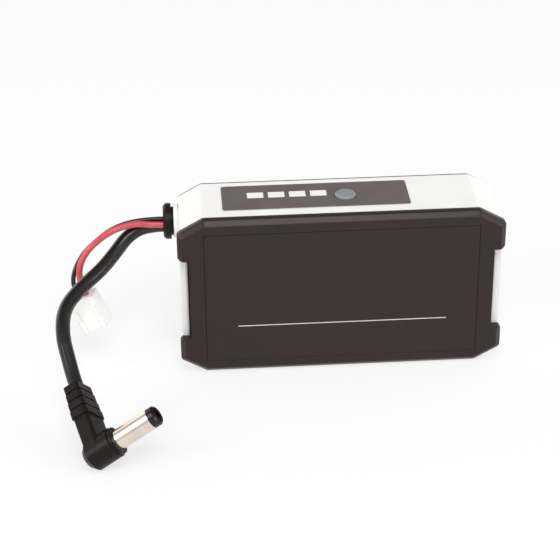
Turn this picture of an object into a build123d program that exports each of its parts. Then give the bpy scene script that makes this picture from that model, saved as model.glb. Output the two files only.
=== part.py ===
from build123d import *
import math
import os

os.makedirs("parts", exist_ok=True)

# Two-cell 18650 battery case standing on its long narrow side.
# Frame: X along the case, front cover facing -Y, Z up, origin at the middle of the base.
# All sizes in millimetres.

# ---- outer form of the case ----
case_length = 88.0
case_depth = 25.8
case_height = 46.45
corner_x = 6.65            # chamfer at each corner, along the length
corner_z = 3.74            # and along the height
front_y = -case_depth / 2
back_y = case_depth / 2
rim_depth = 3.16           # how far the cover reaches back from the front face
split_gap = 0.06           # joint line between cover and body
wall = 2.0
back_round = 0.9
corner_round = 1.0         # the eight long edges are only slightly softened
mid_z = case_height / 2

# ---- cover ----
cover_proud = 0.6          # stands out beyond the body at the top and at both ends
cover_corner_x = 7.1
cover_corner_z = 4.0
cover_round = 1.4
cover_plate = 2.4
front_bevel = 1.4
face_round = 0.5
lip_wall = 1.2
lip_clearance = 0.15
lip_depth = 2.6
label_width = 75.0
label_bottom = 3.61
label_top = 43.1
label_recess = 0.3
notch_depth = 2.4
notch_bottom = 10.6
notch_top = 35.35
notch_bevel = 0.6          # softened outer corners of the four ears
tongue_width = 7.0
ridge_reach = 0.12         # slides past the wall, sits in a shallow groove
ridge_height = 1.1
tongue_x = 24.0
ridge_y = front_y + 6.6

# ---- cells ----
cell_dia = 18.4
can_dia = 18.1
cell_length = 65.2
cell_y = front_y + 13.85
lower_cell_z = 12.3
upper_cell_z = 31.2
upper_cap_x = 40.8         # face of the positive cap of the upper cell
lower_cap_x = -31.1        # same for the lower cell, which lies the other way round
contact_plate = 0.4
contact_size = 13.0
plate_width = 17.4
plate_y = front_y + 14.8
contact_bump = 0.8

# ---- inside the body ----
bay_left = -32.3           # inner face of the partition on the battery side
partition_wall = 1.2
passage_z = 42.15
cradle_gap = 0.35
cradle_width = 1.6
cradle_positions = (-18.0, 4.0, 26.0)
guide_levels = (5.75, 18.75, 24.75, 37.55)
guide_slot_height = 37.0

# ---- indicator panel in the top wall ----
panel_x = -6.2
panel_y = front_y + 15.3
panel_length = 51.2
panel_width = 14.65
panel_thick = 1.0
panel_clearance = 0.08
panel_corner = 0.8
panel_seat = 1.3           # ledge below the panel, all round
bar_length = 4.5
bar_width = 3.3
bar_pitch = 5.8
bar_first_x = -22.6
bar_y = front_y + 16.4
bar_count = 4
button_x = 2.1
button_y = front_y + 14.5
button_dia = 5.7
button_stand = 0.7         # height of the button above the panel
button_clearance = 0.12

# ---- circuit board below the panel ----
board_top = 42.35
board_thick = 1.0
board_length = 50.4
board_width = 14.0
screw_dia = 1.6
screw_length = 3.0
screw_y = front_y + 21.0
screw_positions = (-29.4, 16.6)

# ---- cable entry in the left end ----
entry_y = front_y + 19.1
entry_z = 38.2
boss_dia = 9.4
boss_height = 1.2
collar_dia = 8.0
collar_height = 0.7
flange_dia = 10.0
flange_thick = 2.2
inner_flange_dia = 9.4
inner_flange_thick = 1.2

# ---- leads ----
cable_dia = 3.9
red_dia = 1.8
black_dia = 1.3
cable_sides = 12
wire_sides = 8
cable_route = [
    (-47.7, 5.7, 37.3), (-53.2, 5.7, 37.3), (-58.1, 4.0, 35.2), (-61.6, 0.2, 32.1), (-65.6, -4.8, 29.5),
    (-71.0, -10.8, 27.7), (-75.5, -18.4, 25.8), (-75.9, -26.0, 22.1), (-74.3, -31.7, 17.7),
    (-73.03, -36.07, 14.59), (-71.77, -39.84, 12.7),
]
red_route = [
    (-47.7, 3.2, 38.7), (-51.4, 3.2, 38.7), (-55.4, 2.8, 39.6), (-61.2, 1.0, 39.1), (-65.8, -0.5, 36.9),
    (-69.7, -1.5, 33.4), (-71.9, -2.4, 28.7), (-71.3, -3.2, 23.7), (-69.9, -3.5, 20.5),
]
black_route = [
    (-47.7, 4.6, 39.8), (-53.0, 4.6, 39.8), (-58.6, 4.1, 39.1), (-63.0, 3.0, 37.7), (-66.8, 1.6, 35.3),
    (-70.6, 0.2, 32.2), (-73.4, -1.6, 27.3), (-73.6, -2.4, 22.9), (-72.2, -3.1, 19.4),
]

# ---- right-angle plug: arm lying back over the floor, barrel raised ----
plug_origin = (-66.41, -55.855, 4.676)
plug_barrel_dir = (0.8136, -0.0189, 0.5811)
plug_cable_dir = (-0.2867, 0.8565, 0.4291)
head_dia = 8.3
head_back = 3.7
head_chamfer = 1.5
flange_face = 5.9
flange_step = 0.35
plug_flange_thick = 1.0
barrel_dia = 5.5
barrel_bore = 4.5
barrel_length = 10.8
insulator_length = 2.0
insulator_dia = 5.4
insulator_bore = 2.1
relief_top = 19.9
relief_start = 10.1
rib_count = 4
rib_pitch = 2.6
rib_thick = 2.0
rib_top = (4.6, 7.8)       # along the barrel, across it
rib_low = (5.2, 9.0)
rib_corner = 1.0
groove_step = 0.9          # how much smaller the core between the ribs is
arm_section = (4.6, 8.4)
cable_seat = 1.2
groove_width = rib_pitch - rib_thick

# ---- two-way connector on the thin leads ----
connector_down = (0.42, -0.1, -0.9)
connector_entry = 0.9      # how far each wire reaches into the housing
connector_pitch = 2.6
connector_long = 7.5
connector_short = 5.7
connector_height = 9.8


def plane_at_y(y):
    """Vertical sheet facing the front, X to the right and Z up."""
    return Plane.XZ.offset(-y)


def octagon(half, height, cut_x, cut_z):
    """Rectangle standing on the base with its four corners cut off."""
    right = [(half - cut_x, 0), (half, cut_z), (half, height - cut_z), (half - cut_x, height)]
    left = [(-x, z) for x, z in reversed(right)]
    return right + left


body_outline = octagon(case_length / 2, case_height, corner_x, corner_z)
cover_outline = octagon(case_length / 2 + cover_proud, case_height + cover_proud,
                        cover_corner_x, cover_corner_z)


def bend_radii(points):
    """Bend radius at every inner point of a route."""
    radii = []
    for i in range(1, len(points) - 1):
        before = Vector(*points[i]) - Vector(*points[i - 1])
        after = Vector(*points[i + 1]) - Vector(*points[i])
        turn = math.radians(before.get_angle(after))
        radii.append(0.45 * min(before.length, after.length) / math.tan(turn / 2))
    return radii


def lead(points, diameter, sides):
    """Lead of many-sided section following a route of straight runs and tangent bends."""
    radii = bend_radii(points)
    with BuildPart() as tube:
        with BuildLine() as path:
            FilletPolyline(*points, radius=radii)
        run = path.wires()[0]
        with BuildSketch(Plane(origin=run @ 0, z_dir=run % 0)) as section:
            RegularPolygon(diameter / 2, sides)
        sweep(path=run)
    share = tube.part.volume / (section.sketch.area * run.length)
    print("lead", diameter, "length", round(run.length, 2), "volume share", round(share, 4))
    print("  radii", [round(r, 1) for r in radii])
    return tube.part


# ---------------------------------------------------------------- body shell
split_y = front_y + rim_depth
body_span = back_y - split_y
with BuildPart() as body_shell:
    with BuildSketch(plane_at_y(split_y)):
        Polygon(*body_outline, align=None)
    extrude(amount=-body_span)
    fillet(body_shell.edges().filter_by(Axis.Y), radius=corner_round)
    back_edges = body_shell.faces().sort_by(Axis.Y)[-1].edges()
    fillet(back_edges, radius=back_round)
    with BuildSketch(plane_at_y(split_y)):
        Polygon(*body_outline, align=None)
        offset(amount=-wall, kind=Kind.INTERSECTION)
    extrude(amount=-(body_span - wall), mode=Mode.SUBTRACT)
    # partition between the cable compartment and the battery bay
    with Locations((bay_left - partition_wall / 2, (split_y + lip_depth + back_y) / 2, mid_z)):
        Box(partition_wall, body_span - lip_depth, case_height - wall)
    # passage for the inner leads at the top of the partition
    with Locations((bay_left - partition_wall / 2, entry_y, passage_z)):
        Box(partition_wall + 0.4, 6.0, 3.2, mode=Mode.SUBTRACT)
    # window frame for the indicator panel: seat, then the opening through the wall
    with BuildSketch(Plane.XY.offset(case_height)):
        with Locations((panel_x, panel_y)):
            RectangleRounded(panel_length + 2 * panel_clearance, panel_width + 2 * panel_clearance,
                             panel_corner)
    extrude(amount=-panel_thick, mode=Mode.SUBTRACT)
    with BuildSketch(Plane.XY.offset(case_height)):
        with Locations((panel_x, panel_y)):
            Rectangle(panel_length - 2 * panel_seat, panel_width - 2 * panel_seat)
    extrude(amount=-(wall + 0.5), mode=Mode.SUBTRACT)
    # bosses for the two board screws, growing out of the back wall
    for boss_x in screw_positions:
        with Locations((boss_x, back_y - wall - 2.1, board_top - board_thick - 1.7)):
            Box(4.0, 4.4, 3.4)
    # cradle ribs that carry the cells
    for rib_x in cradle_positions:
        with Locations((rib_x, back_y - wall - 4.4, mid_z - 2.6)):
            Box(cradle_width, 9.0, case_height - wall * 2 - 5.0)
    for cell_z in (lower_cell_z, upper_cell_z):
        with Locations(Location((cradle_positions[1], cell_y, cell_z), (0, 90, 0))):
            Cylinder(cell_dia / 2 + cradle_gap, 50.0, mode=Mode.SUBTRACT)
    # shallow channels that hold the contact plates upright
    for guide_x in (bay_left + 0.7, case_length / 2 - wall - 0.7):
        for guide_z in guide_levels:
            with Locations((guide_x, back_y - wall - 0.9, guide_z)):
                Box(1.4, 2.0, 1.6)
    for slot_x in (bay_left + contact_plate / 2, case_length / 2 - wall - contact_plate / 2):
        with Locations((slot_x, back_y - wall - 1.0, mid_z)):
            Box(contact_plate, 2.2, guide_slot_height, mode=Mode.SUBTRACT)
    # round boss around the cable entry, then the bore
    with BuildSketch(Plane(origin=(-case_length / 2, entry_y, entry_z), z_dir=(-1, 0, 0))):
        Circle(boss_dia / 2)
    extrude(amount=boss_height)
    with Locations(Location((-case_length / 2, entry_y, entry_z), (0, 90, 0))):
        Cylinder(collar_dia / 2, 8.0, mode=Mode.SUBTRACT)
    # screw holes
    with Locations(*[(x, screw_y, board_top - board_thick) for x in screw_positions]):
        Cylinder(screw_dia / 2, 2 * screw_length - 0.6, mode=Mode.SUBTRACT)
    # shallow grooves that receive the detent ridges of the cover
    for side in (1, -1):
        for groove_x in (-tongue_x, tongue_x):
            with Locations((groove_x, ridge_y, mid_z + side * (mid_z - wall + 0.1))):
                Box(tongue_width + 0.8, ridge_height + 0.6, 0.6, mode=Mode.SUBTRACT)
body_shell.part.label = "body_shell"
export_step(body_shell.part, "parts/body_shell.step")

# ---------------------------------------------------------------- front cover
with BuildPart() as front_cover:
    # bevelled front: from the smaller face to the full outline, then the straight rim
    with BuildSketch(plane_at_y(front_y)) as face_outline:
        Polygon(*cover_outline, align=None)
        offset(amount=-front_bevel, kind=Kind.INTERSECTION)
        fillet(face_outline.vertices(), radius=face_round)
    with BuildSketch(plane_at_y(front_y + front_bevel)) as rim_outline:
        Polygon(*cover_outline, align=None)
        fillet(rim_outline.vertices(), radius=cover_round)
    loft(ruled=True)
    extrude(rim_outline.sketch, amount=-(rim_depth - split_gap - front_bevel))
    # hollow behind the plate
    with BuildSketch(plane_at_y(front_y + cover_plate)):
        Polygon(*body_outline, align=None)
        offset(amount=-(wall + lip_clearance + lip_wall), kind=Kind.INTERSECTION)
    extrude(amount=-rim_depth, mode=Mode.SUBTRACT)
    # lip that enters the body
    with BuildSketch(plane_at_y(front_y + cover_plate)):
        Polygon(*body_outline, align=None)
        offset(amount=-(wall + lip_clearance), kind=Kind.INTERSECTION)
    extrude(amount=-(rim_depth - cover_plate + lip_depth))
    with BuildSketch(plane_at_y(front_y + cover_plate)):
        Polygon(*body_outline, align=None)
        offset(amount=-(wall + lip_clearance + lip_wall), kind=Kind.INTERSECTION)
    extrude(amount=-(rim_depth + lip_depth + 1.0), mode=Mode.SUBTRACT)
    # spring tongues with detent ridges, two above and two below
    for side in (1, -1):
        for snap_x in (-tongue_x, tongue_x):
            tongue_z = mid_z + side * (mid_z - wall - lip_clearance - lip_wall / 2)
            with Locations((snap_x, front_y + cover_plate + 2.6, tongue_z)):
                Box(tongue_width, 5.2, lip_wall)
            with Locations((snap_x, ridge_y, tongue_z + side * (lip_wall + ridge_reach) / 2)):
                Box(tongue_width, ridge_height, ridge_reach)
    # finger notch in each end
    for side in (1, -1):
        inner_x = side * (case_length / 2 - notch_depth)
        mouth_x = side * (case_length / 2 + cover_proud)
        outer_x = mouth_x + side
        with BuildSketch(plane_at_y(front_y - 1.0)):
            Polygon((inner_x, notch_bottom), (mouth_x - side * notch_bevel, notch_bottom),
                    (mouth_x, notch_bottom - notch_bevel), (outer_x, notch_bottom - notch_bevel),
                    (outer_x, notch_top + notch_bevel), (mouth_x, notch_top + notch_bevel),
                    (mouth_x - side * notch_bevel, notch_top), (inner_x, notch_top), align=None)
        extrude(amount=-(rim_depth + 1.1), mode=Mode.SUBTRACT)
    # shallow field for the label
    with BuildSketch(plane_at_y(front_y)):
        with Locations((0, (label_bottom + label_top) / 2)):
            Rectangle(label_width, label_top - label_bottom)
    extrude(amount=-label_recess, mode=Mode.SUBTRACT)
front_cover.part.label = "front_cover"
export_step(front_cover.part, "parts/front_cover.step")

label_gap = 0.15
label_thick = 0.2
with BuildPart() as front_label:
    with BuildSketch(plane_at_y(front_y + label_recess)):
        with Locations((0, (label_bottom + label_top) / 2)):
            RectangleRounded(label_width - 2 * label_gap, label_top - label_bottom - 2 * label_gap, 0.5)
    extrude(amount=label_thick)
front_label.part.label = "front_label"
export_step(front_label.part, "parts/front_label.step")

# ---------------------------------------------------------------- indicator panel
bar_xs = [bar_first_x + i * bar_pitch for i in range(bar_count)]
with BuildPart() as indicator_panel:
    with BuildSketch(Plane.XY.offset(case_height)):
        with Locations((panel_x, panel_y)):
            RectangleRounded(panel_length, panel_width, panel_corner)
    extrude(amount=-panel_thick)
    with BuildSketch(Plane.XY.offset(case_height)):
        with Locations(*[(x, bar_y) for x in bar_xs]):
            Rectangle(bar_length, bar_width)
        with Locations((button_x, button_y)):
            Circle(button_dia / 2 + button_clearance)
    extrude(amount=-panel_thick, mode=Mode.SUBTRACT)
    chamfer(indicator_panel.faces().sort_by(Axis.Z)[-1].outer_wire().edges(), length=0.2)
indicator_panel.part.label = "indicator_panel"
export_step(indicator_panel.part, "parts/indicator_panel.step")

# one moulded piece: four light bars on a web under the panel
web_thick = 0.7
with BuildPart() as light_guide:
    with BuildSketch(Plane.XY.offset(case_height - panel_thick)):
        with Locations(((bar_xs[0] + bar_xs[-1]) / 2, bar_y)):
            Rectangle(bar_xs[-1] - bar_xs[0] + bar_length + 2.0, bar_width + 1.4)
    extrude(amount=-web_thick)
    with BuildSketch(Plane.XY.offset(case_height - panel_thick)):
        with Locations(*[(x, bar_y) for x in bar_xs]):
            Rectangle(bar_length - 0.02, bar_width - 0.02)
    extrude(amount=panel_thick)
light_guide.part.label = "light_guide"
export_step(light_guide.part, "parts/light_guide.step")

# ---------------------------------------------------------------- button
plunger_top = 44.4
flange_top = 45.1
button_top = case_height + button_stand
with BuildPart() as power_button:
    with Locations((button_x, button_y, (plunger_top + button_top) / 2)):
        Cylinder(button_dia / 2, button_top - plunger_top)
    with Locations((button_x, button_y, (plunger_top + flange_top) / 2)):
        Cylinder(button_dia / 2 + 0.75, flange_top - plunger_top)
    chamfer(power_button.faces().sort_by(Axis.Z)[-1].edges(), length=0.35)
power_button.part.label = "power_button"
export_step(power_button.part, "parts/power_button.step")

switch_side = 4.5
switch_height = 1.5
plunger_dia = 2.2
with BuildPart() as switch_body:
    with Locations((button_x, button_y, board_top + switch_height / 2)):
        Box(switch_side, switch_side, switch_height)
    chamfer(switch_body.edges().filter_by(Axis.Z), length=0.4)
    with Locations((button_x, button_y, board_top + switch_height)):
        Cylinder(plunger_dia / 2 + 0.2, 2 * (switch_height - 0.3), mode=Mode.SUBTRACT)
switch_body.part.label = "switch_body"
export_step(switch_body.part, "parts/switch_body.step")

with BuildPart() as switch_plunger:
    with Locations((button_x, button_y, (plunger_top + board_top + 0.9) / 2)):
        Cylinder(plunger_dia / 2, plunger_top - board_top - 0.9)
switch_plunger.part.label = "switch_plunger"
export_step(switch_plunger.part, "parts/switch_plunger.step")

# ---------------------------------------------------------------- board, LEDs and screws
with BuildPart() as indicator_board:
    with Locations((panel_x, panel_y, board_top - board_thick / 2)):
        Box(board_length, board_width, board_thick)
    with Locations(*[(x, screw_y, board_top) for x in screw_positions]):
        Cylinder(screw_dia / 2 + 0.2, 4 * board_thick, mode=Mode.SUBTRACT)
    chamfer(indicator_board.edges().filter_by(Axis.Z).group_by(Axis.X)[0], length=1.0)
indicator_board.part.label = "indicator_board"
export_step(indicator_board.part, "parts/indicator_board.step")

for number, led_x in enumerate(bar_xs, start=1):
    with BuildPart() as led:
        with Locations((led_x, bar_y, board_top + 0.15)):
            Box(2.0, 1.25, 0.3)
        with Locations((led_x, bar_y, board_top + 0.5)):
            Box(1.2, 1.15, 0.5)
    led.part.label = f"led_{number}"
    export_step(led.part, f"parts/led_{number}.step")

screw_head_dia = 2.9
screw_head_height = 0.9
for side, screw_x in zip(("left", "right"), screw_positions):
    with BuildPart() as screw:
        with Locations((screw_x, screw_y, board_top + screw_head_height / 2)):
            Cylinder(screw_head_dia / 2, screw_head_height)
        chamfer(screw.faces().sort_by(Axis.Z)[-1].edges(), length=0.3)
        with Locations((screw_x, screw_y, board_top - screw_length / 2 + 0.1)):
            Cylinder(screw_dia / 2, screw_length)
        # cross recess
        with Locations((screw_x, screw_y, board_top + screw_head_height)):
            Box(1.6, 0.35, 0.9, mode=Mode.SUBTRACT)
            Box(0.35, 1.6, 0.9, mode=Mode.SUBTRACT)
    screw.part.label = f"board_screw_{side}"
    export_step(screw.part, f"parts/board_screw_{side}.step")


# ---------------------------------------------------------------- cells
def cell_plane(cap_x, toward, z):
    """Cell axis starting at the cap face and running into the cell."""
    return Plane(origin=(cap_x, cell_y, z), x_dir=(0, 1, 0), z_dir=(-toward, 0, 0))


shoulder = 1.2
groove_depth = 0.55
groove_at = 4.0
can_round = 0.6
sleeve_overlap = 1.6
cell_layout = {
    "upper_cell": (upper_cap_x, 1, upper_cell_z),
    "lower_cell": (lower_cap_x, -1, lower_cell_z),
}
for cell_name, (cap_x, toward, cell_z) in cell_layout.items():
    axis_plane = cell_plane(cap_x, toward, cell_z)
    profile_plane = Plane(origin=axis_plane.origin, x_dir=axis_plane.x_dir,
                          z_dir=axis_plane.z_dir.cross(axis_plane.x_dir))
    sense = 1 if profile_plane.y_dir.X * axis_plane.z_dir.X > 0 else -1
    r = can_dia / 2
    with BuildPart() as can:
        with BuildSketch(profile_plane):
            with BuildLine():
                Polyline(
                    (0, sense * shoulder), (r - can_round, sense * shoulder),
                    (r, sense * (shoulder + 0.5)), (r, sense * (groove_at - 0.8)),
                    (r - groove_depth, sense * groove_at), (r, sense * (groove_at + 0.8)),
                    (r, sense * (cell_length - can_round)), (r - can_round, sense * cell_length),
                    (0, sense * cell_length), close=True)
            make_face()
        revolve(axis=Axis(axis_plane.origin, axis_plane.z_dir))
    can.part.label = f"{cell_name}_can"
    export_step(can.part, f"parts/{cell_name}_can.step")

    with BuildPart() as sleeve:
        with BuildSketch(axis_plane.offset(shoulder + 0.5)):
            Circle(cell_dia / 2)
            Circle(can_dia / 2, mode=Mode.SUBTRACT)
        extrude(amount=cell_length - shoulder - 0.5 - can_round)
    sleeve.part.label = f"{cell_name}_sleeve"
    export_step(sleeve.part, f"parts/{cell_name}_sleeve.step")

    with BuildPart() as ring:
        with BuildSketch(axis_plane.offset(shoulder - 0.35)):
            Circle(can_dia / 2 - 1.6)
            Circle(3.6, mode=Mode.SUBTRACT)
        extrude(amount=0.35)
    ring.part.label = f"{cell_name}_ring"
    export_step(ring.part, f"parts/{cell_name}_ring.step")

    with BuildPart() as cap:
        with BuildSketch(axis_plane):
            Circle(3.3)
        extrude(amount=shoulder)
        chamfer(cap.faces().sort_by(Axis.X)[-1 if toward > 0 else 0].edges(), length=0.35)
    cap.part.label = f"{cell_name}_cap"
    export_step(cap.part, f"parts/{cell_name}_cap.step")


# ---------------------------------------------------------------- contacts
right_wall_x = case_length / 2 - wall
with BuildPart() as negative_plate:
    with BuildSketch(Plane.YZ.offset(bay_left)):
        with Locations((plate_y, upper_cell_z)):
            Rectangle(plate_width, contact_size)
        with Locations((plate_y + 4.8, upper_cell_z + 7.6)):
            Rectangle(3.0, 3.4)
    extrude(amount=contact_plate)
negative_plate.part.label = "negative_plate"
export_step(negative_plate.part, "parts/negative_plate.step")

with BuildPart() as positive_plate:
    with BuildSketch(Plane.YZ.offset(bay_left)):
        with Locations((plate_y, lower_cell_z)):
            Rectangle(plate_width, contact_size)
    extrude(amount=contact_plate)
    with Locations(Location((bay_left + contact_plate, cell_y, lower_cell_z), (0, 90, 0))):
        Cylinder(2.4, 2 * (contact_bump - 0.05))
    chamfer(positive_plate.faces().sort_by(Axis.X)[-1].edges(), length=0.3)
    with Locations((bay_left - 1.0, cell_y, lower_cell_z)):
        Box(2.0, 20.0, 20.0, mode=Mode.SUBTRACT)
positive_plate.part.label = "positive_plate"
export_step(positive_plate.part, "parts/positive_plate.step")

with BuildPart() as link_plate:
    with BuildSketch(Plane.YZ.offset(right_wall_x)):
        with Locations((plate_y, (lower_cell_z + upper_cell_z) / 2)):
            Rectangle(plate_width, upper_cell_z - lower_cell_z + contact_size)
    extrude(amount=-contact_plate)
    with Locations(Location((right_wall_x - contact_plate, cell_y, upper_cell_z), (0, 90, 0))):
        Cylinder(2.4, 2 * (contact_bump - 0.05))
    with Locations((right_wall_x + 1.0, cell_y, upper_cell_z)):
        Box(2.0, 20.0, 20.0, mode=Mode.SUBTRACT)
link_plate.part.label = "link_plate"
export_step(link_plate.part, "parts/link_plate.step")

# tapering coils; each turn is drawn as straight chords
spring_wire = 0.8
spring_turns = 3.5
chords_per_turn = 12
seat_radius = 5.2
tip_radius = 3.9
spring_layout = {
    "upper_spring": (bay_left + contact_plate, upper_cap_x - cell_length, 1, upper_cell_z),
    "lower_spring": (right_wall_x - contact_plate, lower_cap_x + cell_length, -1, lower_cell_z),
}
for spring_name, (seat_x, tip_x, sense, spring_z) in spring_layout.items():
    span = abs(tip_x - seat_x) - spring_wire - 0.2
    start = seat_x + sense * (spring_wire / 2 + 0.1)
    chords = round(spring_turns * chords_per_turn)
    turns = []
    for i in range(chords + 1):
        share = i / chords
        angle = 2 * math.pi * i / chords_per_turn
        radius = seat_radius + (tip_radius - seat_radius) * share
        turns.append((start + sense * span * share, cell_y + radius * math.cos(angle),
                      spring_z + radius * math.sin(angle)))
    with BuildPart() as spring:
        with BuildLine() as coil:
            Polyline(*turns)
        first = coil.wires()[0]
        with BuildSketch(Plane(origin=first @ 0, z_dir=first % 0)):
            RegularPolygon(spring_wire / 2, 6)
        sweep(path=first, transition=Transition.RIGHT)
    spring.part.label = spring_name
    export_step(spring.part, f"parts/{spring_name}.step")

# ---------------------------------------------------------------- cable entry
with BuildPart() as cable_grommet:
    with BuildSketch(Plane(origin=(-case_length / 2 - boss_height, entry_y, entry_z),
                           z_dir=(-1, 0, 0))) as entry:
        Circle(collar_dia / 2)
    extrude(amount=collar_height)
    extrude(entry.sketch, amount=-(boss_height + wall))
    with Locations(Location((-case_length / 2 - boss_height - collar_height - flange_thick / 2,
                             entry_y, entry_z), (0, 90, 0))):
        Cylinder(flange_dia / 2, flange_thick)
    chamfer(cable_grommet.faces().sort_by(Axis.X)[0].edges(), length=0.7)
    with Locations(Location((-case_length / 2 + wall + inner_flange_thick / 2, entry_y, entry_z),
                            (0, 90, 0))):
        Cylinder(inner_flange_dia / 2, inner_flange_thick)
    # flat that clears the sloping corner of the case
    with Locations((-case_length / 2 + wall + inner_flange_thick / 2, entry_y, entry_z + 5.7)):
        Box(inner_flange_thick, 12.0, 6.0, mode=Mode.SUBTRACT)
    for (x, y, z), dia in ((cable_route[0], cable_dia), (red_route[0], red_dia),
                           (black_route[0], black_dia)):
        with Locations(Location((x, y, z), (0, 90, 0))):
            Cylinder(dia / 2, 2.4, mode=Mode.SUBTRACT)
cable_grommet.part.label = "cable_grommet"
export_step(cable_grommet.part, "parts/cable_grommet.step")

# ---------------------------------------------------------------- leads
for lead_name, route, dia, sides in (("power_cable", cable_route, cable_dia, cable_sides),
                                     ("red_wire", red_route, red_dia, wire_sides),
                                     ("black_wire", black_route, black_dia, wire_sides)):
    tube = lead(route, dia, sides)
    tube.label = lead_name
    export_step(tube, f"parts/{lead_name}.step")

# ---------------------------------------------------------------- right-angle plug
plug_frame = Plane(origin=plug_origin, x_dir=plug_barrel_dir, z_dir=plug_cable_dir)
head_plane = Plane(origin=plug_origin, x_dir=plug_cable_dir, z_dir=plug_barrel_dir)
with BuildPart() as plug_body:
    with BuildSketch(head_plane.offset(-head_back)):
        Circle(head_dia / 2)
    extrude(amount=head_back + flange_face - plug_flange_thick)
    back_rim = plug_body.faces().sort_by(Axis((0, 0, 0), plug_barrel_dir))[0].edges()
    chamfer(back_rim, length=head_chamfer)
    # arm from the head to the strain relief
    with BuildSketch(plug_frame):
        RectangleRounded(*arm_section, rib_corner)
    extrude(amount=relief_start - groove_width)
    # core of the strain relief, seen in the grooves between its ribs
    with BuildSketch(plug_frame.offset(relief_start - groove_width)):
        RectangleRounded(rib_low[0] - groove_step, rib_low[1] - groove_step, rib_corner)
    with BuildSketch(plug_frame.offset(relief_top - rib_thick / 2)):
        RectangleRounded(rib_top[0] - groove_step, rib_top[1] - groove_step, rib_corner)
    loft(ruled=True)
    for i in range(rib_count):
        part_way = i / (rib_count - 1)
        along = rib_top[0] + (rib_low[0] - rib_top[0]) * part_way
        across = rib_top[1] + (rib_low[1] - rib_top[1]) * part_way
        with BuildSketch(plug_frame.offset(relief_top - i * rib_pitch)):
            RectangleRounded(along, across, rib_corner)
        extrude(amount=-rib_thick)
    # collar behind the barrel
    with BuildSketch(head_plane.offset(flange_face - plug_flange_thick)):
        Circle(head_dia / 2 - flange_step)
    extrude(amount=plug_flange_thick)
    # socket for the end of the cable
    with BuildSketch(plug_frame.offset(relief_top)):
        Circle(cable_dia / 2)
    extrude(amount=-cable_seat, mode=Mode.SUBTRACT)
plug_body.part.label = "plug_body"
export_step(plug_body.part, "parts/plug_body.step")

with BuildPart() as plug_barrel:
    with BuildSketch(head_plane.offset(flange_face)):
        Circle(barrel_dia / 2)
        Circle(barrel_bore / 2, mode=Mode.SUBTRACT)
    extrude(amount=barrel_length)
plug_barrel.part.label = "plug_barrel"
export_step(plug_barrel.part, "parts/plug_barrel.step")

with BuildPart() as plug_insulator:
    with BuildSketch(head_plane.offset(flange_face + barrel_length)):
        Circle(insulator_dia / 2)
    extrude(amount=insulator_length)
    tip_rim = plug_insulator.faces().sort_by(Axis((0, 0, 0), plug_barrel_dir))[-1].edges()
    chamfer(tip_rim, length=0.45)
    with BuildSketch(head_plane.offset(flange_face)):
        Circle(barrel_bore / 2)
    extrude(amount=barrel_length)
    with BuildSketch(head_plane.offset(flange_face + 1.0)):
        Circle(insulator_bore / 2 + 0.35)
    extrude(amount=barrel_length - 1.0, mode=Mode.SUBTRACT)
    with BuildSketch(head_plane.offset(flange_face + 1.0)):
        Circle(insulator_bore / 2)
    extrude(amount=barrel_length + insulator_length, mode=Mode.SUBTRACT)
plug_insulator.part.label = "plug_insulator"
export_step(plug_insulator.part, "parts/plug_insulator.step")

with BuildPart() as plug_sleeve:
    with BuildSketch(head_plane.offset(flange_face + 1.0)):
        Circle(insulator_bore / 2 + 0.35)
        Circle(insulator_bore / 2, mode=Mode.SUBTRACT)
    extrude(amount=barrel_length - 1.0)
plug_sleeve.part.label = "plug_sleeve"
export_step(plug_sleeve.part, "parts/plug_sleeve.step")

# ---------------------------------------------------------------- two-way connector
pitch_dir = Vector(*red_route[-1]) - Vector(*black_route[-1])
down = Vector(*connector_down).normalized()
connector_top = (Vector(*red_route[-1]) + Vector(*black_route[-1])) * 0.5 - down * connector_entry
pitch_dir = (pitch_dir - down * pitch_dir.dot(down)).normalized()
connector_frame = Plane(origin=connector_top, x_dir=pitch_dir, z_dir=down * -1)
with BuildPart() as aux_connector:
    with BuildSketch(connector_frame):
        Rectangle(connector_long, connector_short)
    extrude(amount=-connector_height)
    chamfer(aux_connector.faces().sort_by(Axis((0, 0, 0), down))[0].edges(), length=0.4)
    for side in (1, -1):
        # wire entry and contact chamber
        with BuildSketch(connector_frame.offset(-connector_height)):
            with Locations((side * connector_pitch / 2, 0)):
                Rectangle(1.7, 2.6)
        extrude(amount=connector_height - 2.2, mode=Mode.SUBTRACT)
        # side windows for the contact barbs
        with BuildSketch(connector_frame.offset(-connector_height * 0.45)):
            with Locations((side * connector_pitch / 2, connector_short / 2)):
                Rectangle(1.2, connector_short - 2.4)
        extrude(amount=-2.4, mode=Mode.SUBTRACT)
    # keying ribs
    with BuildSketch(connector_frame.offset(-2.4)):
        with Locations(*[(side * (connector_long / 2 - 0.9), -connector_short / 2) for side in (1, -1)]):
            Rectangle(0.9, 1.0)
    extrude(amount=-(connector_height - 2.4))
    for end, dia in ((red_route[-1], red_dia), (black_route[-1], black_dia)):
        with Locations(Plane(origin=end, z_dir=down)):
            Cylinder(dia / 2 + 0.12, 8.0, align=(Align.CENTER, Align.CENTER, Align.MAX), mode=Mode.SUBTRACT)
aux_connector.part.label = "aux_connector"
export_step(aux_connector.part, "parts/aux_connector.step")

for contact_name, end in (("aux_contact_red", red_route[-1]), ("aux_contact_black", black_route[-1])):
    with BuildPart() as contact:
        with BuildSketch(Plane(origin=end, x_dir=pitch_dir, z_dir=down).offset(1.7)):
            Rectangle(1.2, 1.8)
        extrude(amount=5.6)
        with BuildSketch(Plane(origin=end, x_dir=pitch_dir, z_dir=down).offset(2.5)):
            Rectangle(0.8, 1.3)
        extrude(amount=6.0, mode=Mode.SUBTRACT)
    contact.part.label = contact_name
    export_step(contact.part, f"parts/{contact_name}.step")
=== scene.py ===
import math

import bmesh
import bpy
from mathutils import Matrix, Vector


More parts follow.
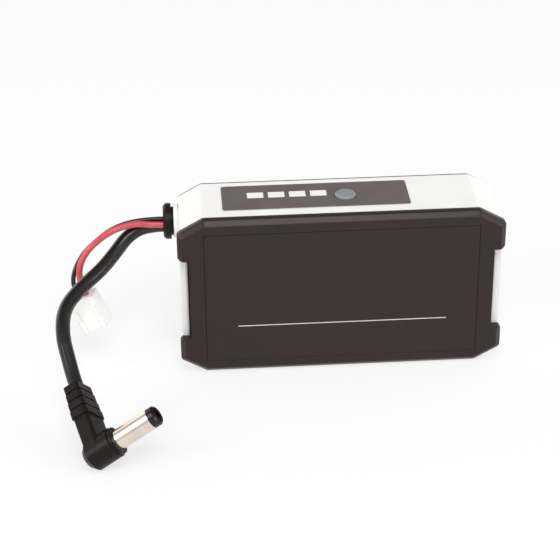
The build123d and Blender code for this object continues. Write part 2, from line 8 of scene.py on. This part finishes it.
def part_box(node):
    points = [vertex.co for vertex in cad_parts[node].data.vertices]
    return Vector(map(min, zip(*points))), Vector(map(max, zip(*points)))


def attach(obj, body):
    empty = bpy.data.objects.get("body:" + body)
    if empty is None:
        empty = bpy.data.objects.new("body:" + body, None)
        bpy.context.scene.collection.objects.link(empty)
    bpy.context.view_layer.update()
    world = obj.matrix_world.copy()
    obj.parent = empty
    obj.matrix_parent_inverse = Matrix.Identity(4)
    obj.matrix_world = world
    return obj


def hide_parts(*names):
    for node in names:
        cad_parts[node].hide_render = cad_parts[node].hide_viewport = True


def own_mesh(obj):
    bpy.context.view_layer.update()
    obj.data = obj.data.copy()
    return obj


# A case for two round cells with a pull-off front cover, a thick lead that ends in a
# right-angle plug, and two thin wires that end in a small connector.
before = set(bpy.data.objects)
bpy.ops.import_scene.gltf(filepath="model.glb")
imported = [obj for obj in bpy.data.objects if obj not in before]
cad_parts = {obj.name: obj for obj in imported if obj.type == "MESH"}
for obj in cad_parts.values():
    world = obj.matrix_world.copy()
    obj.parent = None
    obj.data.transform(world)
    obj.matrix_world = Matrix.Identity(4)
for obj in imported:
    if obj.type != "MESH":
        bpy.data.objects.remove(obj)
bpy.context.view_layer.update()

MM = 0.001


def mm(x, y, z):
    """A place given in millimetres, turned to metres."""
    return Vector((x * MM, y * MM, z * MM))


# ------------------------------------------------------------------ camera
def place_camera(where, azimuth, elevation, roll, lens):
    """Camera looking along azimuth from +Y and down by elevation, all in degrees."""
    a, e, r = (math.radians(v) for v in (azimuth, elevation, roll))
    forward = Vector((-math.sin(a) * math.cos(e), math.cos(a) * math.cos(e), -math.sin(e)))
    right = Vector((math.cos(a), math.sin(a), 0.0))
    up = right.cross(forward)
    across = right * math.cos(r) + up * math.sin(r)
    upward = up * math.cos(r) - right * math.sin(r)
    data = bpy.data.cameras.new("camera")
    data.lens = lens
    data.sensor_width = 36.0
    data.clip_start = 0.01
    cam = bpy.data.objects.new("camera", data)
    turn = Matrix((across, upward, -forward)).transposed().to_4x4()
    cam.matrix_world = Matrix.Translation(where) @ turn
    bpy.context.collection.objects.link(cam)
    bpy.context.scene.camera = cam


place_camera(mm(-44.76, -441.68, 270.85),
             azimuth=-3.7017, elevation=29.4012, roll=-0.5318, lens=116.70)

# ------------------------------------------------------------------ leads
# Outside diameters and routes in mm, from the cable entry to the plug or the connector.
CABLE_DIA = 3.9
RED_DIA = 1.8
BLACK_DIA = 1.3
CABLE_ROUTE = [
    (-47.7, 5.7, 37.3), (-53.2, 5.7, 37.3), (-58.1, 4.0, 35.2), (-61.6, 0.2, 32.1),
    (-65.6, -4.8, 29.5), (-71.0, -10.8, 27.7), (-75.5, -18.4, 25.8), (-75.9, -26.0, 22.1),
    (-74.3, -31.7, 17.7), (-73.03, -36.07, 14.59), (-71.77, -39.84, 12.7),
]
RED_ROUTE = [
    (-47.7, 3.2, 38.7), (-51.4, 3.2, 38.7), (-55.4, 2.8, 39.6), (-61.2, 1.0, 39.1),
    (-65.8, -0.5, 36.9), (-69.7, -1.5, 33.4), (-71.9, -2.4, 28.7), (-71.3, -3.2, 23.7),
    (-69.9, -3.5, 20.5),
]
BLACK_ROUTE = [
    (-47.7, 4.6, 39.8), (-53.0, 4.6, 39.8), (-58.6, 4.1, 39.1), (-63.0, 3.0, 37.7),
    (-66.8, 1.6, 35.3), (-70.6, 0.2, 32.2), (-73.4, -1.6, 27.3), (-73.6, -2.4, 22.9),
    (-72.2, -3.1, 19.4),
]


def lead(name, route, diameter):
    """Round insulated lead: one smooth spline with the route's points as its control points."""
    curve = bpy.data.curves.new(name, "CURVE")
    curve.dimensions = "3D"
    curve.resolution_u = 14
    curve.bevel_depth = diameter / 2 * MM
    curve.bevel_resolution = 8
    curve.use_fill_caps = True
    line = curve.splines.new("NURBS")
    line.points.add(len(route) - 1)
    for point, place in zip(line.points, route):
        point.co = (*mm(*place), 1.0)
    line.order_u = 3
    line.use_endpoint_u = True
    obj = bpy.data.objects.new(name, curve)
    bpy.context.collection.objects.link(obj)
    return obj


power_lead = lead("power_lead", CABLE_ROUTE, CABLE_DIA)
red_lead = lead("red_lead", RED_ROUTE, RED_DIA)
black_lead = lead("black_lead", BLACK_ROUTE, BLACK_DIA)

# ------------------------------------------------------------------ materials
NOISE_LOW, NOISE_HIGH = 0.3, 0.7    # nearly all of a noise texture lies between these
MOTTLE_HIGH = 0.72                  # where the mottling of a moulded surface is lightest
METAL_PATCH = 4.0                   # mm, the slow change of tone over plated metal
EVEN = (1.0, 1.0, 1.0)              # a grain that runs no particular way


def linear(hex_colour):
    """sRGB hex colour as linear light, with full alpha."""
    parts = [int(hex_colour[i:i + 2], 16) / 255 for i in (1, 3, 5)]
    return tuple(c / 12.92 if c <= 0.04045 else ((c + 0.055) / 1.055) ** 2.4
                 for c in parts) + (1.0,)


def add(tree, kind, inputs=None, links=None, **settings):
    """One node with its settings, socket values and incoming links."""
    item = tree.nodes.new(kind)
    for key, value in settings.items():
        setattr(item, key, value)
    for key, value in (inputs or {}).items():
        item.inputs[key].default_value = value
    for key, (source, output) in (links or {}).items():
        tree.links.new(source.outputs[output], item.inputs[key])
    return item


def new_material(name):
    """Empty node material and its tree."""
    material = bpy.data.materials.new(name)
    material.use_nodes = True
    material.node_tree.nodes.clear()
    return material, material.node_tree


def two_tone(tree, noise, low, high):
    """Colour that follows a noise, between two (position, hex colour) stops."""
    item = add(tree, "ShaderNodeValToRGB", links={"Fac": (noise, "Fac")})
    for element, (position, colour) in zip(item.color_ramp.elements, (low, high)):
        element.position = position
        element.color = linear(colour)
    return item


def grained_shader(tree, colour, grain, smooth, rough, depth, inputs, rolled=None):
    """Shader whose roughness, from smooth to rough, and bump, depth mm deep, follow the grain."""
    sheen = add(tree, "ShaderNodeMapRange",
                {"From Min": NOISE_LOW, "From Max": NOISE_HIGH, "To Min": smooth, "To Max": rough},
                {"Value": (grain, "Fac")})
    relief = {"Height": (grain, "Fac")}
    if rolled:
        relief["Normal"] = (rolled, "Normal")
    bump = add(tree, "ShaderNodeBump", {"Strength": 1.0, "Distance": depth * MM}, relief)
    shader = add(tree, "ShaderNodeBsdfPrincipled", inputs,
                 {"Base Color": (colour, "Color"), "Roughness": (sheen, "Result"),
                  "Normal": (bump, "Normal")})
    add(tree, "ShaderNodeOutputMaterial", links={"Surface": (shader, "BSDF")})


def moulded(name, low, high, roughness, grit, depth,
            ior=1.53, patch=9.0, gloss=0.5, spread=0.06, edge=0.0):
    """Moulded or printed plastic. Its colour wanders from low to high over patch mm. A grain of
    grit mm, depth mm deep, moves the roughness by spread. Edges are rolled by edge mm."""
    material, tree = new_material(name)
    place = add(tree, "ShaderNodeTexCoord")
    mottle = add(tree, "ShaderNodeTexNoise",
                 {"Scale": 1 / (patch * MM), "Detail": 4.0, "Roughness": 0.55},
                 {"Vector": (place, "Object")})
    colour = two_tone(tree, mottle, (NOISE_LOW, low), (MOTTLE_HIGH, high))
    grain = add(tree, "ShaderNodeTexNoise",
                {"Scale": 1 / (grit * MM), "Detail": 2.0, "Roughness": 0.6},
                {"Vector": (place, "Object")})
    rolled = None
    if edge:
        rolled = add(tree, "ShaderNodeBevel", {"Radius": edge * MM}, samples=6)
    grained_shader(tree, colour, grain, roughness - spread, roughness + spread, depth,
                   {"IOR": ior, "Specular IOR Level": gloss}, rolled)
    return material


def metal(name, low, high, roughness, grit, depth, stretch=EVEN):
    """Plated metal with a fine grain of grit mm, depth mm deep. A larger number in stretch
    packs the grain closer along that axis, so that it runs across it as drawn lines."""
    material, tree = new_material(name)
    place = add(tree, "ShaderNodeTexCoord")
    turned = add(tree, "ShaderNodeMapping", {"Scale": stretch}, {"Vector": (place, "Object")})
    grain = add(tree, "ShaderNodeTexNoise",
                {"Scale": 1 / (grit * MM), "Detail": 3.0, "Roughness": 0.6},
                {"Vector": (turned, "Vector")})
    tone = add(tree, "ShaderNodeTexNoise", {"Scale": 1 / (METAL_PATCH * MM), "Detail": 2.0},
               {"Vector": (place, "Object")})
    colour = two_tone(tree, tone, (NOISE_LOW, low), (NOISE_HIGH, high))
    grained_shader(tree, colour, grain, roughness * 0.7, roughness * 1.4, depth,
                   {"Metallic": 1.0})
    return material


def painted_back_edge_shade(material, low, high, fade, tone):
    """Painted shade: a fine dark band along the back edge, where the rounded edge turns away from
    the light, from low to high mm in depth. It fades out to the right over the two places in fade,
    in mm."""
    tree = material.node_tree
    shader = next(item for item in tree.nodes if item.bl_idname == "ShaderNodeBsdfPrincipled")
    plain = shader.inputs["Base Color"].links[0].from_socket
    place = add(tree, "ShaderNodeTexCoord")
    parts = add(tree, "ShaderNodeSeparateXYZ", links={0: (place, "Object")})
    after = add(tree, "ShaderNodeMath", {1: low * MM}, {0: (parts, "Y")},
                operation="GREATER_THAN")
    before = add(tree, "ShaderNodeMath", {1: high * MM}, {0: (parts, "Y")},
                 operation="LESS_THAN")
    band = add(tree, "ShaderNodeMath", links={0: (after, "Value"), 1: (before, "Value")},
               operation="MULTIPLY")
    reach = add(tree, "ShaderNodeMapRange",
                {"From Min": fade[0] * MM, "From Max": fade[1] * MM, "To Min": 1.0, "To Max": 0.0},
                {"Value": (parts, "X")})
    share = add(tree, "ShaderNodeMath", links={0: (band, "Value"), 1: (reach, "Result")},
                operation="MULTIPLY")
    mix = add(tree, "ShaderNodeMix", {"B": linear(tone)}, {"Factor": (share, "Value")},
              data_type="RGBA")
    tree.links.new(plain, mix.inputs["A"])
    tree.links.new(mix.outputs["Result"], shader.inputs["Base Color"])


# The real grain of these surfaces is 0.02 to 0.1 mm, too fine to show on a case this size.
# Every grit below is drawn several times coarser, so that it shows as a slight unevenness of
# the gloss. The patches of tone, 2 to 14 mm, are at the size that flow marks have.

# White ABS, injection moulded in a polished tool: even, slightly warm white with a low gloss
# and soft highlights along its rounded edges.
white_abs = moulded("white_abs_polished", "#f4f3f1", "#f8f8f6", roughness=0.36,
                    grit=0.9, depth=0.0012, gloss=0.32, edge=1.1)
# Painted shade: a fine dark band along the back edge of the white body, fading out to the right.
painted_back_edge_shade(white_abs, low=11.72, high=12.36, fade=(37.5, 40.5), tone="#2a2826")
# Black ABS from a spark-eroded tool: the grain breaks the gloss into a brownish grey haze.
black_abs = moulded("black_abs_textured", "#1f0d0a", "#23100c", roughness=0.38,
                    grit=0.4, depth=0.004, gloss=0.37, edge=0.8)
# Label face: coated polyester film, duller than the cover around it and finer in its grain.
label_film = moulded("polyester_label_matt", "#220f10", "#271214", roughness=0.50,
                     grit=0.3, depth=0.006, gloss=0.37)
# Indicator plate: screen-printed dark grey on satin polycarbonate, plainly lighter than the
# black parts.
panel_grey = moulded("polycarbonate_satin_grey", "#5f5554", "#665d5b", roughness=0.40,
                     grit=0.3, depth=0.003)
# Light bars: moulded milky acrylic, brighter than the plate and softly glossy.
light_acrylic = moulded("acrylic_milky_white", "#f3f4f2", "#fafaf8", roughness=0.25,
                        grit=0.6, depth=0.001, ior=1.49)
# Push button: moulded ABS, a satin blue-grey that stands out from the plate.
button_abs = moulded("button_abs_blue_grey", "#878b8e", "#919597", roughness=0.38,
                     grit=0.35, depth=0.003)
# Soft PVC moulded over cable entry and plug: near black, with a low sheen and short flow
# marks that soften its highlights.
soft_pvc = moulded("soft_pvc_black", "#150e0d", "#1b1413", roughness=0.38,
                   grit=0.9, depth=0.002, ior=1.50, patch=3.0, gloss=0.18, edge=0.3)
# Cable jacket: extruded PVC, smoother and glossier than the moulded ends, so that a clean
# highlight runs along the lead.
jacket_pvc = moulded("cable_jacket_pvc", "#0e0b09", "#120f0c", roughness=0.25,
                     grit=1.5, depth=0.0004, ior=1.50, patch=12.0, spread=0.02)
# Wire insulation: extruded PVC, plain red and plain black with a thin bright line of gloss.
red_pvc = moulded("wire_insulation_red", "#c6444e", "#d1515b", roughness=0.28,
                  grit=0.5, depth=0.001, patch=3.0)
black_pvc = moulded("wire_insulation_black", "#100e0e", "#171414", roughness=0.32,
                    grit=0.5, depth=0.001, patch=3.0)
# Natural nylon of the small connector: moulded, off-white and satin.
nylon_white = moulded("nylon_natural_white", "#f5f5f1", "#f9f9f6", roughness=0.42,
                      grit=0.5, depth=0.002, edge=0.2)
# Black nylon of the barrel's tip: moulded, glossy where the light catches its rim.
nylon_black = moulded("nylon_black_tip", "#120c0b", "#191110", roughness=0.28,
                      grit=0.5, depth=0.001, gloss=0.3)
# Turned brass, nickel plated: warm bright metal with a soft, slightly uneven mirror.
nickel_turned = metal("nickel_plated_brass", "#dccec0", "#ebded1", roughness=0.15,
                      grit=0.5, depth=0.0008)
# Nickel strip, rolled and stamped: the contact plates, with a faint grain along the strip.
nickel_strip = metal("nickel_strip", "#c9c6c0", "#d8d5ce", roughness=0.24,
                     grit=0.4, depth=0.0008, stretch=(1.0, 6.0, 1.0))
# Spring wire, drawn and nickel plated: greyish and bright on its turns.
spring_nickel = metal("spring_wire_nickel", "#c4c2bc", "#d2cfc8", roughness=0.22,
                      grit=0.3, depth=0.0005)
# Screws: zinc-plated steel, a little duller and cooler.
zinc_steel = metal("zinc_plated_steel", "#b9bab6", "#cdcdc8", roughness=0.28,
                   grit=0.4, depth=0.001)
# Cell cans: deep-drawn steel, nickel plated, with fine rings across their length.
can_steel = metal("nickel_plated_can", "#c2c1bb", "#d3d1ca", roughness=0.30,
                  grit=0.4, depth=0.001, stretch=(6.0, 1.0, 1.0))
# Shrunk PVC sleeve of the cells: smooth and glossy, plain blue.
sleeve_pvc = moulded("cell_sleeve_pvc", "#20518c", "#275c9a", roughness=0.24,
                     grit=1.2, depth=0.0005, patch=14.0, spread=0.02)
# Insulating card, punched: the dull off-white ring under each positive cap.
paper_ring = moulded("insulating_card", "#dcdcd6", "#ecece6", roughness=0.70,
                     grit=0.3, depth=0.004, patch=2.0)
# Glass-epoxy board under a green solder mask: glossy, with the weave as faint small mottles.
solder_mask = moulded("solder_mask_green", "#0c4a22", "#12602d", roughness=0.28,
                      grit=0.5, depth=0.002, patch=2.0)
# Lamp bodies on the board: cast epoxy, clear and slightly yellow, glossy.
led_epoxy = moulded("led_epoxy", "#e9e8d2", "#f6f5e4", roughness=0.22,
                    grit=0.5, depth=0.0005)
# Switch under the button: moulded black resin, dull.
switch_resin = moulded("switch_resin", "#151313", "#1d1a1a", roughness=0.45,
                       grit=0.3, depth=0.002)
# Screen ink, printed: the pale rule on the label, matt and slightly thin.
rule_ink = moulded("screen_ink_white", "#c9c6c6", "#dad8d8", roughness=0.50,
                   grit=0.3, depth=0.001, patch=2.0)

FINISH = {
    "body_shell": white_abs, "front_cover": black_abs, "front_label": label_film,
    "indicator_panel": panel_grey, "light_guide": light_acrylic, "power_button": button_abs,
    "switch_plunger": switch_resin, "switch_body": switch_resin,
    "indicator_board": solder_mask,
    "led_1": led_epoxy, "led_2": led_epoxy, "led_3": led_epoxy, "led_4": led_epoxy,
    "board_screw_left": zinc_steel, "board_screw_right": zinc_steel,
    "negative_plate": nickel_strip, "positive_plate": nickel_strip, "link_plate": nickel_strip,
    "upper_spring": spring_nickel, "lower_spring": spring_nickel,
    "cable_grommet": soft_pvc, "plug_body": soft_pvc, "plug_barrel": nickel_turned,
    "plug_insulator": nylon_black, "plug_sleeve": nickel_turned,
    "aux_connector": nylon_white, "aux_contact_red": nickel_strip,
    "aux_contact_black": nickel_strip,
    "upper_cell_can": can_steel, "lower_cell_can": can_steel,
    "upper_cell_cap": can_steel, "lower_cell_cap": can_steel,
    "upper_cell_ring": paper_ring, "lower_cell_ring": paper_ring,
    "upper_cell_sleeve": sleeve_pvc, "lower_cell_sleeve": sleeve_pvc,
    "power_cable": jacket_pvc, "red_wire": red_pvc, "black_wire": black_pvc,
}


def dress(obj, material):
    """Give every face of a piece one material."""
    obj.data.materials.clear()
    obj.data.materials.append(material)


for node_name, material in FINISH.items():
    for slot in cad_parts[node_name].material_slots:
        slot.material = material
dress(power_lead, jacket_pvc)
dress(red_lead, red_pvc)
dress(black_lead, black_pvc)

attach(power_lead, "housing")
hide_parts("power_cable")
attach(red_lead, "housing")
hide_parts("red_wire")
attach(black_lead, "housing")
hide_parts("black_wire")

# ------------------------------------------------------------------ contact springs
WIRE_DIA = 0.8      # mm, the spring's own wire
END_GAP = 0.1       # mm, between the spring's ends and what they press on
CELL_Y = 0.95       # mm, the middle of the cells in depth
COIL_SIZES = {
    "Turns": 3.5, "Seat Radius": 5.2 * MM, "Tip Radius": 3.9 * MM,
    "Height": 6.5 * MM, "Wire Radius": WIRE_DIA / 2 * MM,
}


def coil_tree(material):
    """Node tree of a tapering coil: a spiral of round wire, standing along +Z from its seat."""
    tree = bpy.data.node_groups.new("coil_spring", "GeometryNodeTree")
    for label, value in COIL_SIZES.items():
        socket = tree.interface.new_socket(label, in_out="INPUT", socket_type="NodeSocketFloat")
        socket.default_value = value
    tree.interface.new_socket("Geometry", in_out="OUTPUT", socket_type="NodeSocketGeometry")
    given = add(tree, "NodeGroupInput")
    spiral = add(tree, "GeometryNodeCurveSpiral", {"Resolution": 40},
                 {"Rotations": (given, "Turns"), "Start Radius": (given, "Seat Radius"),
                  "End Radius": (given, "Tip Radius"), "Height": (given, "Height")})
    wire = add(tree, "GeometryNodeCurvePrimitiveCircle", {"Resolution": 12}, mode="RADIUS")
    tree.links.new(given.outputs["Wire Radius"], wire.inputs["Radius"])
    tube = add(tree, "GeometryNodeCurveToMesh", {"Fill Caps": True},
               {"Curve": (spiral, "Curve"), "Profile Curve": (wire, "Curve")})
    smooth = add(tree, "GeometryNodeSetShadeSmooth", links={"Geometry": (tube, "Mesh")})
    solid = add(tree, "GeometryNodeRealizeInstances", links={"Geometry": (smooth, "Geometry")})
    finish = add(tree, "GeometryNodeSetMaterial", {"Material": material},
                 {"Geometry": (solid, "Geometry")})
    add(tree, "NodeGroupOutput", links={"Geometry": (finish, "Geometry")})
    return tree


COIL = coil_tree(spring_nickel)


def contact_spring(name, node, seat_x, tip_x, level):
    """Coil from its seat on the plate to the foot of a cell."""
    sense = 1 if tip_x > seat_x else -1
    reach = abs(tip_x - seat_x)
    start = seat_x + sense * (WIRE_DIA / 2 + END_GAP)
    own_sizes = COIL_SIZES | {"Height": (reach - WIRE_DIA - 2 * END_GAP) * MM}
    holder = bpy.data.objects.new(name + "_raw", bpy.data.meshes.new(name + "_raw"))
    bpy.context.collection.objects.link(holder)
    modifier = holder.modifiers.new("coil", "NODES")
    modifier.node_group = COIL
    for item in COIL.interface.items_tree:
        if item.in_out == "INPUT":
            modifier[item.identifier] = own_sizes[item.name]
    bpy.context.view_layer.update()
    depsgraph = bpy.context.evaluated_depsgraph_get()
    mesh = bpy.data.meshes.new_from_object(holder.evaluated_get(depsgraph))
    bpy.data.objects.remove(holder)
    # The spiral stands along +Z. It is laid along the cell, with its first turn starting towards
    # the back; to the left that mirrors it, so its faces are turned out again.
    turn = Matrix(((0, 0, sense), (1, 0, 0), (0, 1, 0))).to_4x4()
    mesh.transform(Matrix.Translation(mm(start, CELL_Y, level)) @ turn)
    if sense < 0:
        mesh.flip_normals()
    obj = bpy.data.objects.new(name, mesh)
    bpy.context.collection.objects.link(obj)
    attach(obj, "housing")
    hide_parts(node)
    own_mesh(obj)


contact_spring("upper_coil", "upper_spring", seat_x=-31.9, tip_x=-24.4, level=31.2)
contact_spring("lower_coil", "lower_spring", seat_x=41.6, tip_x=34.1, level=12.3)

# ------------------------------------------------------------------ label print
RULE_LEFT, RULE_RIGHT = -28.6, 28.9     # mm
RULE_LOW, RULE_HIGH = 14.52, 14.78      # mm above the floor
INK_RISE = 0.03                         # mm, how far the ink stands proud of the film
INK_ROOT = 0.02                         # mm, how far it is let into the film


def front_plate(name, corners, front, back, material):
    """Thin plate whose corners are given as (x, z), between two depths, all in mm."""
    mesh = bmesh.new()
    near = [mesh.verts.new(mm(x, front, z)) for x, z in corners]
    far = [mesh.verts.new(mm(x, back, z)) for x, z in corners]
    mesh.faces.new(near)
    mesh.faces.new(list(reversed(far)))
    count = len(corners)
    for i in range(count):
        j = (i + 1) % count
        mesh.faces.new((near[j], near[i], far[i], far[j]))
    bmesh.ops.recalc_face_normals(mesh, faces=mesh.faces)
    data = bpy.data.meshes.new(name)
    mesh.to_mesh(data)
    mesh.free()
    obj = bpy.data.objects.new(name, data)
    bpy.context.collection.objects.link(obj)
    dress(obj, material)
    return obj


label_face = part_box("front_label")[0][1] / MM
rule = front_plate("label_rule",
                   [(RULE_LEFT, RULE_LOW), (RULE_RIGHT, RULE_LOW),
                    (RULE_RIGHT, RULE_HIGH), (RULE_LEFT, RULE_HIGH)],
                   label_face - INK_RISE, label_face + INK_ROOT, rule_ink)
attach(rule, "cover")

# ------------------------------------------------------------------ stage, light and world
FLOOR_HALF = 2.5        # m, from the case to the floor's edge
GLOW_SHARE = 0.62       # how much of the floor's white is its own; the rest takes the shadow
GLOW_STRENGTH = 1.06    # brings a lit floor just to white
# The room, by direction: -1 is straight to the front, the left or down, 1 the other way.
ROOM_FRONT, ROOM_BACK = 0.62, 0.30
FRONT_TO_BACK = (-0.35, 0.30)
ROOM_SIDES = 0.34
SIDES_FROM_TO = (0.35, 0.80)
BACKDROP_TOP = (0.14, 0.26)     # the backdrop is white to 8 degrees up and ends at 15
BACKDROP_SIDE = (-0.15, 0.05)   # and it stands behind the case only


def floor_plane():
    """Wide sheet of white paper that the case stands on."""
    mesh = bpy.data.meshes.new("floor")
    half = FLOOR_HALF
    mesh.from_pydata([(-half, -half, 0), (half, -half, 0), (half, half, 0), (-half, half, 0)],
                     [], [(0, 1, 2, 3)])
    obj = bpy.data.objects.new("floor", mesh)
    bpy.context.collection.objects.link(obj)
    material, tree = new_material("floor_white_paper")
    path = add(tree, "ShaderNodeLightPath")
    seen = add(tree, "ShaderNodeMath",
               links={0: (path, "Is Camera Ray"), 1: (path, "Is Glossy Ray")},
               operation="MAXIMUM")
    clear = add(tree, "ShaderNodeMath",
                links={0: (seen, "Value"), 1: (path, "Is Transmission Ray")},
                operation="MAXIMUM")
    share = add(tree, "ShaderNodeMath", {1: GLOW_SHARE}, {0: (clear, "Value")},
                operation="MULTIPLY")
    paper = add(tree, "ShaderNodeBsdfDiffuse", {"Color": linear("#f0f0f0")})
    glow = add(tree, "ShaderNodeEmission", {"Color": (1, 1, 1, 1), "Strength": GLOW_STRENGTH})
    mix = add(tree, "ShaderNodeMixShader",
              links={0: (share, "Value"), 1: (paper, "BSDF"), 2: (glow, "Emission")})
    add(tree, "ShaderNodeOutputMaterial", links={"Surface": (mix, "Shader")})
    dress(obj, material)
    return obj


floor_plane()


def soft_lamp(name, where, at, size, watts):
    """Square white soft box at a place, aimed at another, all in metres."""
    data = bpy.data.lights.new(name, "AREA")
    data.size = size
    data.energy = watts
    obj = bpy.data.objects.new(name, data)
    where = Vector(where)
    aim = (Vector(at) - where).to_track_quat("-Z", "Y").to_matrix().to_4x4()
    obj.matrix_world = Matrix.Translation(where) @ aim
    bpy.context.collection.objects.link(obj)


soft_lamp("key_softbox", (0.02, -0.48, 0.74), (0, 0, 0.02), size=0.34, watts=2.35)
soft_lamp("left_softbox", (-0.66, -0.34, 0.34), (-0.03, -0.01, 0.02), size=0.34, watts=1.75)
soft_lamp("right_softbox", (0.68, -0.38, 0.34), (0, 0, 0.02), size=0.34, watts=1.5)
# Two low lamps behind keep the back as light as the front.
soft_lamp("back_left_softbox", (-0.56, 0.66, 0.22), (-0.02, 0.01, 0.02), size=0.60, watts=1.05)
soft_lamp("back_right_softbox", (0.58, 0.64, 0.22), (0.02, 0.01, 0.02), size=0.65, watts=0.95)


def studio_world():
    """The room: bright to the front, brighter to both sides, dimmer behind, with a white
    backdrop there for reflections as for the eye."""
    world = bpy.data.worlds.new("studio")
    bpy.context.scene.world = world
    world.use_nodes = True
    tree = world.node_tree
    tree.nodes.clear()

    def span(axis, output, start, end, at_start, at_end):
        """A level that goes from one value to another as a direction turns."""
        return add(tree, "ShaderNodeMapRange",
                   {"From Min": start, "From Max": end, "To Min": at_start, "To Max": at_end},
                   {"Value": (axis, output)})

    look = add(tree, "ShaderNodeTexCoord")
    toward = add(tree, "ShaderNodeSeparateXYZ", links={0: (look, "Generated")})
    sideways = add(tree, "ShaderNodeMath", links={0: (toward, "X")}, operation="ABSOLUTE")
    front = span(toward, "Y", *FRONT_TO_BACK, ROOM_FRONT, ROOM_BACK)
    sides = span(sideways, "Value", *SIDES_FROM_TO, 0.0, ROOM_SIDES)
    low_down = span(toward, "Z", *BACKDROP_TOP, 1.0, 0.0)
    behind = span(toward, "Y", *BACKDROP_SIDE, 0.0, 1.0)
    room = add(tree, "ShaderNodeMath", links={0: (front, "Result"), 1: (sides, "Result")},
               operation="ADD")
    backdrop = add(tree, "ShaderNodeMath",
                   links={0: (low_down, "Result"), 1: (behind, "Result")},
                   operation="MULTIPLY")
    ray = add(tree, "ShaderNodeLightPath")
    mirror_ray = add(tree, "ShaderNodeMath",
                     links={0: (ray, "Is Glossy Ray"), 1: (ray, "Is Transmission Ray")},
                     operation="MAXIMUM")
    mirrored = add(tree, "ShaderNodeMath",
                   links={0: (mirror_ray, "Value"), 1: (backdrop, "Value")},
                   operation="MULTIPLY")
    seen = add(tree, "ShaderNodeMath",
               links={0: (ray, "Is Camera Ray"), 1: (mirrored, "Value")},
               operation="MAXIMUM")
    level = add(tree, "ShaderNodeMath", links={0: (room, "Value"), 1: (seen, "Value")},
                operation="MAXIMUM")
    sky = add(tree, "ShaderNodeBackground", {"Color": (1, 1, 1, 1)},
              {"Strength": (level, "Value")})
    add(tree, "ShaderNodeOutputWorld", links={"Surface": (sky, "Background")})


studio_world()
bpy.context.scene.view_settings.view_transform = "Standard"
